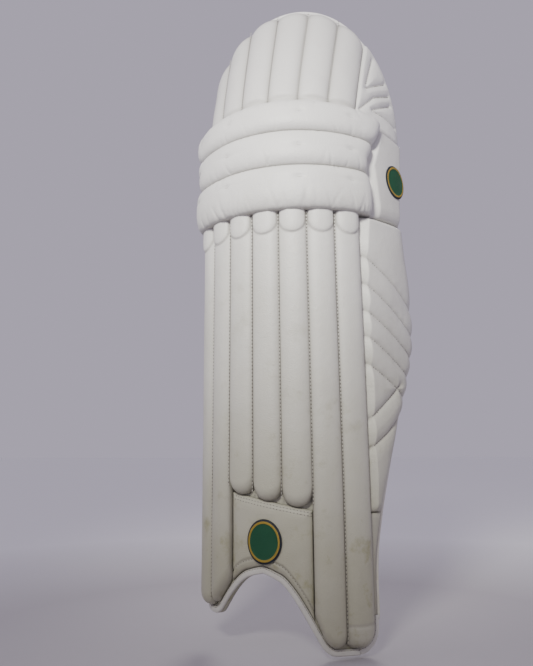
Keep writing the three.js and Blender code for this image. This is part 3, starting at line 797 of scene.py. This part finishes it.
def upper_wing(side):
    low, high = knee_top + 0.5, dome_start + dome_rise
    while reach_of(high, side) < top_side(high) + upper_width:
        high -= 1
    share, along = laid_out(between(96, 0.2), between(140, 0.2), low, high)
    inner, outer = top_side(along) + side_gap, reach_of(along, side)
    flat = inner + (outer - inner) * share
    away = to_lines(flat - top_side(along), along - knee_top, upper_lines[side])
    full = pillow(outer - flat - rim_inset, outer_round) * pillow(flat - inner, inner_round)
    full = full * pillow(along - low, low_round) * pillow(high - along, high_round)
    crown = (wing_crown[side] - wing_sheet + 0.1) + 0.8 * waves(100 + side, flat, along, 48)
    out = wing_sheet - 1 - at_rim(outer, flat, 1.3) + (crown + groove(away, *upper_groove)) * full
    wing_piece("upper_wing", side, flat, along, out, wing_grime_and_shade(away, inner, outer, flat))


# Calf wings
# The outer wing is quilted along lines that fall outwards, with two rising creases under them. The inner one,
# which wraps the inside of the leg, is plain.
quilt_fall, ankle_seam = 0.56, 141
quilt_starts = [427, 395, 364, 335, 304]
crease_lines = [[(0, 237), (56, 279)], [(0, 206), (56, 243)]]


def calf_wing(side):
    low, high = ankle_seam + seam_gap, shin_length - panel_drop - seam_gap
    share, along = laid_out(between(110, 0.2), between(330, 0.05), low, high)
    inner, outer = roll_span + side_gap, reach_of(along, side)
    flat = inner + (outer - inner) * share
    beside = flat - roll_span
    lines = [[(-5, start + 3), (120, start - quilt_fall * 120)] for start in quilt_starts] + crease_lines
    away = to_lines(beside, along, lines if side > 0 else [])
    room = np.clip((outer - inner) / 22, 0.25, 1)
    wall = np.interp(along, [380, 430, 472], [8, 9, 13])
    steep = np.clip((flat - inner) / wall, 0, 1)
    full = pillow(outer - flat - rim_inset, 26 * room) * (0.12 + 0.88 * steep)
    full = full * pillow(high - along, 6) * pillow(along - low, 9)
    rise = (wing_crown[side] + 3.0 * (side > 0) - wing_sheet) * room + 0.9 * waves(110 + side, flat, along, 55)
    quilt = groove(away, *calf_groove) * np.minimum(1, full * 1.7) * room
    pulls = np.sin(beside / 2.6 + 4 * waves(7, flat, along, 60)) * bell(away, 5) * (1 - bell(away, 1.2))
    out = wing_sheet - 0.6 - at_rim(outer, flat, 1.6) + (rise + 0.2 * pulls) * full + quilt
    wing_piece("calf_wing", side, flat, along, out, wing_grime_and_shade(away, inner, outer, flat, 0.4))


# Ankle wings
# The plain lower ends of the wings, which narrow down to the rim of each foot.
def foot_top(side):
    return foot_corner + (0 if side > 0 else inner_foot_rise)


def ankle_wing(side):
    low, high = foot_top(side) + 7.5, ankle_seam - seam_gap
    share, along = laid_out(between(36, 0.3), between(90, 0.2), low, high)
    low_end = pillow(along - low, 14)
    inner, outer = roll_span + side_gap, reach_of(along, side)
    outer = inner + (outer - inner) * (0.3 + 0.7 * low_end)
    flat = inner + (outer - inner) * share
    room = np.clip((outer - inner) / 20, 0, 1)
    full = rounded(share) * pillow(high - along, 6) * low_end
    out = wing_sheet - 0.6 - at_rim(outer, flat, 1.2) - 0.8 * (1 - low_end)
    out = out + (3.2 * room + 0.4 * waves(120 + side, flat, along, 45)) * full
    # A little darker all over and more beside the rolls: painted shade.
    wing_piece("ankle_wing", side, flat, along, out, 0.3 + 0.4 * (1 - pillow(flat - inner, 4)))


for side in (1, -1):
    knee_panel(side)
    upper_wing(side)
    calf_wing(side)
    ankle_wing(side)

# Instep patch
# One soft panel over the shoe, between the two feet. A seam runs over it under the short rolls, and another
# follows the notch.
instep_crown, short_half, notch_seam_height = 7, 1.5 * roll_pitch - 0.25, 9
u, v = np.meshgrid(between(90, 0.4), between(80, 0.4))
across = -short_half + 2 * short_half * u
low = binding_top(across) + 0.7
high = instep_line(across)
along = low + (high - low) * v
inset = np.minimum(np.minimum(across + short_half, short_half - across), np.minimum(along - low, high - along))
notch_line = bell(along - low - notch_seam_height, 1.5)
full = wing_sheet - 1.2 + (instep_crown - wing_sheet + 1) * pillow(inset, 13) - 1.2 * notch_line
full = full + 0.7 * pillow(inset, 13) * waves(9, across, along, 38)
# Darker in the notch seam and round the edges: painted shade, with some dirt in the seam.
soil = 0.5 * notch_line + 0.6 * (1 - pillow(inset, 3))
instep = upholster("instep_padding", across, along, full, wing_seat, [facing], soil)
fit(instep, ["instep_patch"])


# Foot binding
# A flat white tape is folded round the feet and the notch, and sewn along its upper edge.
tape = Finish("bound_edge_tape")
wear = tape.steps(tape.noise(40, 4, 0.6), (0.45, 0.0), (0.8, 1.0))
shade = tape.blend(wear * 0.35, (0.74, 0.73, 0.65), (0.50, 0.47, 0.37))
# The stored values darken the tape in its seam, at its rolled edges and a little all over: painted shade.
shade = tape.blend(tape.attribute("soil") * 0.5, shade, (0.38, 0.36, 0.32))
weave = tape.bumps(tape.ribs(45.0, 0.4) + tape.noise(500) * 0.6, 0.00018)
tape_finish = tape.dress(shade, 0.62 + wear * 0.15, weave)
# The tape's path: the share of it that is under the foot, the part of its length round a corner, and how far
# it then goes up beside the piping. The last one is where its seam runs.
under_foot, round_corner, tape_climb, tape_seam_at = 0.82, 0.17, 10, 0.82


def binding_path(t):
    side = np.where(t < 0.5, -1, 1)
    straight = roll_span + foot_rim - foot_corner
    share = np.abs(2 * t - 1) / under_foot
    angle = np.clip((share - 1) / round_corner, 0, 1) * math.pi / 2
    climb = tape_climb * np.maximum(0, share - 1 - round_corner) / (1 / under_foot - 1 - round_corner)
    across = side * straight * np.minimum(share, 1)
    beside = side * (straight + foot_corner * np.sin(angle))
    above = foot_corner * (1 - np.cos(angle)) + np.where(side > 0, 0, inner_foot_rise) + climb
    bottom = np.stack([across, foot_bottom(across)], -1)
    return np.where((share <= 1)[..., None], bottom, np.stack([beside, above], -1))


u, v = np.meshgrid(np.linspace(0, 1, 460), between(14, 0.6))
here, run = along_path(binding_path, u, 0.002)
across = here[..., 0] - run[..., 1] * binding_width * v
along = here[..., 1] + run[..., 0] * binding_width * v
round_edge = rounded(v, 5)
full = 0.9 + 2.2 * round_edge - 0.5 * bell(v - tape_seam_at, 0.05) + 0.22 * waves(12, across, along * 3, 30)
# Painted shade in the tape's seam and at its rolled edges, and a little all over.
soil = 0.5 * bell(v - tape_seam_at, 0.06) + 0.5 * (1 - round_edge) + 0.25
binding = upholster("foot_binding_tape", across, along, full, 0.6, [tape_finish], soil)
fit(binding, ["foot_binding"])

# Edge piping
# A round cord in a strip of coated cloth runs from the outer foot up the wing, over the dome and down again.
piping_radius, piping_gap, piping_sides, piping_cut = 3, 0.8, 16, 2200
up_wing, round_dome = 0.62, 0.38


def piping_path(t):
    side = np.where(t < 0.5, 1, -1)
    share = 1 - np.abs(2 * t - 1)
    start = foot_corner + 1 + np.where(side > 0, 0, inner_foot_rise)
    along = start + (dome_start - start) * np.clip(share / up_wing, 0, 1)
    angle = np.clip((share - up_wing) / round_dome, 0, 1) * math.pi / 2
    on_edge = np.where(side > 0, edge(along, 1), edge(along, -1))
    across = np.where(share < up_wing, on_edge, dome_middle + side * dome_half * np.cos(angle))
    return np.stack([across, np.where(share < up_wing, along, dome_start + dome_rise * np.sin(angle))], axis=-1)


t = np.linspace(0, 1, 900)
here, run = along_path(piping_path, t, 0.003)
angles = np.linspace(0, math.tau, piping_sides, endpoint=False)
swell = 1 + 0.05 * np.sin(t * 330)[:, None] * waves(14, t[:, None] * 900, 0 * angles[None, :] + 1, 80)
ends = pillow(np.minimum(t, 1 - t) * piping_cut, 16)[:, None]
radius = piping_radius * 0.97 * swell * np.maximum(ends, 0.3)
off, out = piping_radius + piping_gap + radius * np.cos(angles), radius * np.sin(angles)
places = wrap(here[:, :1] + run[:, 1:] * off, here[:, 1:] - run[:, :1] * off, out - backing_wall / 2)
# The side of the cord at its seam, against the sheet, is darker: painted shade in the crevice.
seam = np.broadcast_to(0.55 * bell(np.cos(angles) + 0.9, 0.25), radius.shape).ravel()
flat = np.stack(np.broadcast_arrays(angles * piping_radius, t[:, None] * piping_cut), -1).reshape(-1, 2)
# The piping is the facing's cloth painted lighter, and much less darkened near the ground: a painted highlight
# along the edge.
piping_cloth_painted_lighter = coated_cloth("white_piping_cloth_painted_lighter", 0.13, (0.60, 0.58, 0.42))
faces = tube_faces(len(t), piping_sides, turned_round=True)
piping = piece_from("edge_piping_cord", places.reshape(-1, 3), faces, [piping_cloth_painted_lighter], seam, flat)
fit(piping, ["edge_piping"])


# Straps
# Three straps close the pad behind the leg, at the knee, the calf and the ankle. The upper two are webbing with
# a folded end; the ankle strap is a wide towelling pad.
def web(cloth):
    ribs = cloth.ribs(20.0, direction="Y")
    return ribs + cloth.ribs(34.0) * 0.6, (1 - ribs) * 0.25


def towelling(cloth):
    loops = cloth.cells(620.0)
    return 1 - loops, loops * 0.5


web_finish = woven(
    "strap_webbing", (30, 4, 0.6), ((0.62, 0.62, 0.61), (0.70, 0.70, 0.685)), web, (0.36, 0.36, 0.35),
    roughness=0.85, depth=0.0004, sheen=0.1,
)
towel_finish = woven(
    "strap_towelling", (25, 4, 0.6), ((0.36, 0.355, 0.40), (0.46, 0.455, 0.50)), towelling, (0.26, 0.255, 0.30),
    roughness=0.93, depth=0.0009, sheen=0.35,
)
loops = Finish("loop_tape")
fuzz = loops.noise(900, 4, 0.8)
loop_finish = loops.dress(
    loops.blend(fuzz, (0.44, 0.44, 0.44), (0.66, 0.66, 0.65)), 0.94 - loops.noise(45, 3, 0.6) * 0.04,
    loops.bumps(fuzz, 0.0010), Sheen_Weight=0.3,
)
strap_overlap, strap_slack, strap_tuck, strap_sides = 26, 30, 8, 40
tab_start, tab_end, tab_rise, loop_end = 40, 118, 1.2, 150
strap_paths = {}
strap_rows = {
    "name": ["knee_strap", "calf_strap", "ankle_strap"],
    "height": [0.985, 0.76, 0.39],
    "width": [44, 44, 74],
    "thick": [3, 3, 9],
}


def strap_line(along, width, thick):
    inside = -backing_wall - 0.7 - thick / 2
    wings = []
    share = np.array([0, 0.2, 0.4, 0.6, 0.8, 1])
    for side in (1, -1):
        above, below = (side * float(edge(along + up, side)) for up in (width / 2, -width / 2))
        leaves, begins = max(above, below), below - strap_overlap
        across = side * (begins + (leaves - begins) * share)
        wings.append(wrap(across, np.full(6, along), inside - share * strap_tuck))
    rear = max(wings[0][-1][1], wings[1][-1][1]) + strap_slack / 1000
    behind = np.array([
        [share * (wings[0][-1][0] if share > 0 else -wings[1][-1][0]), rear - (0.009 if share else 0), 0]
        for share in (0.62, 0, -0.62)
    ])
    line = np.concatenate([wings[0], behind, wings[1][::-1]])
    reached = summed(np.hypot(*np.diff(line[:, :2], axis=0).T))
    table = {"at": list(reached), "x": list(line[:, 0]), "y": list(line[:, 1])}
    stations = np.linspace(0, reached[-1], 340)
    line = np.stack([through(table, key, stations) for key in ("x", "y")], axis=-1)
    return line, wings[0][0][2], stations


def strap(k):
    name, thick, width = (strap_rows[key][k] for key in ("name", "thick", "width"))
    line, height, stations = strap_line(strap_rows["height"][k] * shin_length, width, thick)
    run = unit(np.gradient(line, axis=0))
    strap_paths[name] = (line, run, height, stations, thick)
    soft = thick > 5
    angles = np.linspace(0, math.tau, strap_sides, endpoint=False)
    wide = np.sign(np.cos(angles)) * np.abs(np.cos(angles)) ** (0.5 if soft else 0.28) * (width / 2 - 0.3)
    deep = np.sign(np.sin(angles)) * np.abs(np.sin(angles)) ** (0.75 if soft else 0.5) * (thick / 2 - 0.15)
    puff = 1.0
    if soft:
        rows = np.abs(wide[None, :]) / (width / 2)
        quilt = 1 - 0.35 * bell(rows - 0.33, 0.05)
        puff = quilt * (1 + 0.06 * waves(31, stations[:, None] * 1000, wide[None, :], 40))
    aside = np.broadcast_to(deep[None, :] * puff, (len(line), strap_sides))
    reached = stations[:, None] * 1000
    on_tab = ramp(reached, tab_start - 1, tab_start) * ramp(tab_end - reached, 0, 1.2)
    on_loops = ramp(loop_end - reached, 0, 0.8) * (1 - on_tab)
    if not soft:
        layers = tab_rise * on_tab + 0.5 * on_loops * (reached > tab_start)
        aside = aside + np.maximum(0, np.sign(deep[None, :])) * layers
    x, y = line[:, :1] + run[:, 1:] * aside / 1000, line[:, 1:] - run[:, :1] * aside / 1000
    z = height + wide[None, :] / 1000
    places = np.stack(np.broadcast_arrays(x, y, z), axis=-1).reshape(-1, 3)
    flat = np.stack(np.broadcast_arrays(reached, wide[None, :]), -1).reshape(-1, 2)
    fuzzy = (reached[:-1] > tab_end) & (reached[:-1] < loop_end) & (deep[None, :] > thick * 0.25)
    face_finish = np.concatenate([fuzzy.ravel().astype(int) * (not soft), [0, 0]])
    finishes = [towel_finish] if soft else [web_finish, loop_finish]
    faces = tube_faces(len(line), strap_sides)
    band = piece_from(f"{name}_band", places, faces, finishes, None, flat, face_finish)
    fit(band, [name])


for k in range(3):
    strap(k)

# Badges
# Two thin moulded roundels, one on the outer knee panel and one on the instep, each a plain green field in a
# yellow ring with a dark rim. They are welded to the cloth.
badge_half, badge_height, ring_from, rim_from = (20, 23), 528, 0.8, 0.9


def badge_finish(name, colour):
    vinyl = Finish(name)
    patches = vinyl.noise(60, 4, 0.6)
    shade = vinyl.blend(patches * 0.5, colour, tuple(0.75 * part for part in colour))
    scuffs = vinyl.steps(vinyl.noise(160, 4, 0.7), (0.62, 0.0), (0.8, 1.0))
    shade = vinyl.blend(scuffs * 0.25, shade, (0.5, 0.5, 0.46))
    return vinyl.dress(shade, 0.42 + patches * 0.15, vinyl.bumps(vinyl.noise(500), 0.0002))


badge_finishes = [
    badge_finish("badge_field", (0.030, 0.16, 0.075)), badge_finish("badge_ring", (0.62, 0.44, 0.07)),
    badge_finish("badge_rim", (0.035, 0.045, 0.06)),
]


def badge(name, middle, along, seat):
    bpy.ops.mesh.primitive_circle_add(vertices=72, radius=1, fill_type="NGON")
    roundel = bpy.context.object
    roundel.name = name
    bpy.ops.object.mode_set(mode="EDIT")
    bpy.ops.mesh.select_mode(type="FACE")
    for step in (0.05, 0.05, 0.04, 0.04, 0.02, *[0.1] * 7):
        bpy.ops.mesh.inset(thickness=step)
    bpy.ops.mesh.merge(type="COLLAPSE")
    bpy.ops.object.mode_set(mode="OBJECT")
    mesh = roundel.data
    spots = np.array([vertex.co[:] for vertex in mesh.vertices])
    for polygon in mesh.polygons:
        away = np.hypot(*spots[list(polygon.vertices), :2].mean(axis=0))
        polygon.material_index = 0 if away < ring_from else 1 if away < rim_from else 2
    away = np.hypot(spots[:, 0], spots[:, 1])
    raised = (1.0 + 0.5 * bell(away - 0.84, 0.06) - 0.25 * bell(away - 0.77, 0.03)) * (away < 0.99)
    places = wrap(middle + badge_half[0] * spots[:, 0], along + badge_half[1] * spots[:, 1], seat + 0.35 + raised)
    for vertex, place in zip(mesh.vertices, places):
        vertex.co = place
    for finish in badge_finishes:
        mesh.materials.append(finish)
    bpy.ops.object.mode_set(mode="EDIT")
    bpy.ops.mesh.select_all(action="SELECT")
    bpy.ops.mesh.extrude_region_move(TRANSFORM_OT_translate={"value": (0, 0, 0)})
    bpy.ops.object.mode_set(mode="OBJECT")
    bpy.ops.object.shade_smooth()
    bpy.ops.object.select_all(action="DESELECT")
    fit(roundel, [name.replace("_roundel", "")])


badge("knee_badge_roundel", float(edge(badge_height, 1)) - knee_band - badge_half[0], badge_height, 15.2)
badge("instep_badge_roundel", notch_shift / 2, 113, 8.0)

# Stitches
# White thread, drawn tight, in every seam: down the rolls' seams, in the quilting, round the panels and along
# the edges. One stitch is a small closed bead, which is repeated along each seam.
# Dark beads between the stitches paint the shadow in the needle holes.
hole_shadows = Finish("needle_hole_shadows")
hole_shadow_colour = hole_shadows.blend(hole_shadows.noise(300), (0.14, 0.135, 0.12), (0.24, 0.23, 0.20))
hole_shadow_finish = hole_shadows.dress(hole_shadow_colour, 0.9, hole_shadows.bumps(hole_shadows.noise(1500), 0.0002))
thread = Finish("white_thread")
thread_tone = thread.noise(260, 3, 0.6)
# The thread is darker and warmer towards the bottom.
thread_darker_low = thread.steps(thread.height(), (0.05, 0.8), (0.5, 0.0))
thread_shade = thread.blend(thread_tone, (0.62, 0.61, 0.58), (0.84, 0.83, 0.80))
thread_shade = thread.blend(thread_darker_low, thread_shade, (0.34, 0.32, 0.22))
thread_finish = thread.dress(thread_shade, 0.7, thread.bumps(thread.noise(1500), 0.0002))
rings = np.array([[-0.42, 0.55], [-0.22, 1.0], [0.22, 1.0], [0.42, 0.55]])
turns = [(k, (k + 1) % 6) for k in range(6)]
bead = [(-0.5, 0, 0)]
for along_bead, wide in rings:
    bead += [(along_bead, wide * math.cos(k * math.pi / 3), wide * math.sin(k * math.pi / 3)) for k, _ in turns]
bead = np.array(bead + [(0.5, 0, 0)])
bead_faces = [(0, 1 + after, 1 + k) for k, after in turns]
for first in (1, 7, 13):
    bead_faces += [(first + k, first + after, first + 6 + after, first + 6 + k) for k, after in turns]
bead_faces += [(25, 19 + k, 19 + after) for k, after in turns]


def surface_of(*pieces):
    spots, polygons = [], []
    for piece in pieces:
        first = len(spots)
        spots += [vertex.co[:] for vertex in piece.data.vertices]
        polygons += [tuple(first + k for k in polygon.vertices) for polygon in piece.data.polygons]
    return BVHTree.FromPolygons(spots, polygons)


def paced(seam, pitch):
    """Points a stitch apart along a seam, and points just ahead of them."""
    seam = np.array(seam, float)
    reached = summed(np.hypot(*np.diff(seam, axis=0).T))
    middles = np.arange(pitch / 2, reached[-1], pitch)
    ahead = np.minimum(middles + 1, reached[-1])
    return [np.interp(at, reached, seam[:, column]) for at in (middles, ahead) for column in (0, 1)]


def stitch(name, rows, pitch, length, thick):
    """Thread and dark beads that paint the needle holes' shadow, in turn; rows holds each stitch's place, heading
    and outward direction.
    """
    spots, faces, finishes = [], [], []
    for place, heading, facing_out in rows:
        heading = (heading - heading.dot(facing_out) * facing_out).normalized()
        beside = facing_out.cross(heading)
        for ahead_by, long, wide, finish in ((0, length, thick, 0), (pitch / 2, pitch - length, thick * 1.2, 1)):
            shaped = np.array([heading * long, beside * wide, facing_out * thick * (1 - 0.3 * finish)]) / 1000
            first = len(spots)
            spots += (bead @ shaped + np.array(place + heading * ahead_by / 1000)).tolist()
            faces += [tuple(first + corner for corner in face) for face in bead_faces]
            finishes += [finish] * len(bead_faces)
    stitches = piece_from(name, spots, faces, [thread_finish, hole_shadow_finish], face_finish=finishes)
    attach(stitches, "root")


def sew(name, seams, surface=None, out=7.0, pitch=3.8, length=2.6, thick=0.42, inside=False):
    """Stitches along seams on the layout, laid on a surface or at a height out from the backing."""
    rows = []
    for seam in seams:
        across, along, ahead_across, ahead_along = paced(seam, pitch)
        above, under = (wrap(across, along, level) for level in ((-20.0, 2.0) if inside else (60.0, -2.0)))
        level, forward = wrap(across, along, out), wrap(ahead_across, ahead_along, out)
        for k in range(len(across)):
            down = Vector(under[k] - above[k])
            place, facing_out = Vector(level[k]), -down.normalized()
            if surface:
                place, facing_out, _, _ = surface.ray_cast(Vector(above[k]), down.normalized(), down.length)
            if place is not None:
                rows.append((place, Vector(forward[k] - level[k]), facing_out))
    stitch(name, rows, pitch, length, thick)


def sew_strap(name, seams, pitch=4.2):
    """Stitches on a strap's outer side; seams run in millimetres along and across the strap."""
    line, run, height, stations, thick = strap_paths[name]
    rows = []
    for seam in seams:
        reached, wide, ahead, ahead_wide = paced(seam, pitch)
        for k in range(len(reached)):
            here, there = (
                np.array([np.interp(at / 1000, stations, line[:, axis]) for axis in (0, 1)] + [level / 1000])
                for at, level in ((reached[k], wide[k]), (ahead[k], ahead_wide[k]))
            )
            turned = [np.interp(reached[k] / 1000, stations, run[:, axis]) for axis in (1, 0)]
            facing_out = Vector((turned[0], -turned[1], 0)).normalized()
            rise = thick / 2 + (tab_rise if thick < 5 and tab_start < reached[k] < tab_end else 0)
            place = Vector(here) + facing_out * rise / 1000 + Vector((0, 0, height))
            rows.append((place, Vector(there - here), facing_out))
    stitch(f"stitches_{name}", rows, pitch, pitch * 0.65, 0.45)


made = bpy.data.objects
roll_seams = []
for k in range(1, roll_count):
    seam = (k - roll_count / 2) * roll_pitch
    low = instep_line(seam) if abs(seam) < short_places * roll_pitch else float(binding_top(np.array(seam)))
    roll_seams.append([(seam, low + 6), (seam, shin_length - 2)])
sew("stitches_shin_rolls", roll_seams, None, roll_edge + 2.2, 4.0, 2.5, 0.5)
top_seams = []
for k in range(-2, 3):
    reach = float(dome_top(k * top_pitch_high)) - 9
    stations = np.linspace(top_low + 2, reach, 12)
    top_seams.append(np.stack([k * top_pitch(stations), stations], -1))
sew("stitches_top_rolls", top_seams, None, top_edge + 1.2, 4.0, 2.5, 0.45)
wing_surface = surface_of(made["calf_wing_padding_outer"], made["upper_wing_padding_outer"])
quilting = []
for start in quilt_starts:
    stations = np.linspace(9, 110, 40)
    heights = start - quilt_fall * stations
    keep = stations < reach_of(heights, 1) - roll_span - 3
    quilting.append(np.stack([roll_span + stations[keep], heights[keep]], -1))
quilting += [[(roll_span + x, y) for x, y in line] for line in crease_lines]
quilting += [
    [(float(top_side(knee_top + y)) + x, knee_top + y) for x, y in line] for line in upper_lines[1]
]
sew("stitches_quilting", quilting, wing_surface, pitch=3.6, length=2.2, thick=0.5)
panel_surface = surface_of(made["knee_panel_padding_outer"])
stations = np.linspace(shin_length - panel_drop + 3, knee_top - 3, 40)
rim = reach_of(stations, 1)
band_seams = (rim - knee_band + 1.2, rim - knee_band + 4.2, rim - 2.5, knee_edge(stations, 1) + 1.4)
panel_seams = [np.stack([across, stations], -1) for across in band_seams]
sew("stitches_knee_panel", panel_seams, panel_surface)
notch_seam = [(x, float(binding_top(np.array(x))) + notch_seam_height) for x in np.linspace(-44, 44, 50)]
top_seam = [(-46, instep_line(-46) - 3), (46, instep_line(46) - 3)]
second_seam = [(x, height - 3.2) for x, height in top_seam]
sew("stitches_instep", [notch_seam, top_seam, second_seam], surface_of(made["instep_padding"]))
tacks = []
for low, high, tack_share, hang in zip(*(bolster_rows[key] for key in ("low", "high", "tack", "hang"))):
    height = shin_length + knee_height * (low + (high - low) * tack_share) - hang * (1 - tack_share) ** 3
    tacks += [[(tack - 2.4, height), (tack + 2.4, height - 0.6)] for tack in tack_places]
bolster_surface = surface_of(*(made[f"knee_bolster_padding_{word}"] for word in bolster_rows["name"]))
sew("stitches_tacks", tacks, bolster_surface, pitch=1.6, length=2.0, thick=0.4)
lining_seams = []
for k in range(seam_count):
    place = k - roll_count / 2
    lining_seams.append([(place * roll_pitch, 82 if abs(place) < 2.2 else 40), (place * roll_pitch, shin_length)])
lining_surface = surface_of(made["backing_sheet"])
sew("stitches_lining", lining_seams, lining_surface, pitch=5, length=3.2, thick=0.4, inside=True)
for name, width in zip(strap_rows["name"][:2], strap_rows["width"][:2]):
    half = width / 2 - 4
    sewn, free = tab_start + 4, tab_start + 26
    box = [(sewn, -half), (free, -half), (free, half), (sewn, half), (sewn, -half)]
    rim = [(tab_end - 3, -half), (tab_end - 3, half)]
    patch = [(tab_end + 2, half), (loop_end - 2.5, half), (loop_end - 2.5, -half), (tab_end + 2, -half)]
    sew_strap(name, [box, [(sewn, -half), (free, half)], [(sewn, half), (free, -half)], rim, patch])
ankle_length = strap_paths["ankle_strap"][3][-1] * 1000
sew_strap("ankle_strap", [[(30, level), (ankle_length - 30, level)] for level in (-12.3, 12.3)])
here = binding_path(np.linspace(0.004, 0.996, 400))
run = unit(np.gradient(here, axis=0))
tape_seam = here + np.stack([-run[:, 1], run[:, 0]], -1) * binding_width * tape_seam_at
sew("stitches_binding", [tape_seam], surface_of(made["foot_binding_tape"]), pitch=3.6, length=2.4)

bpy.context.view_layer.update()
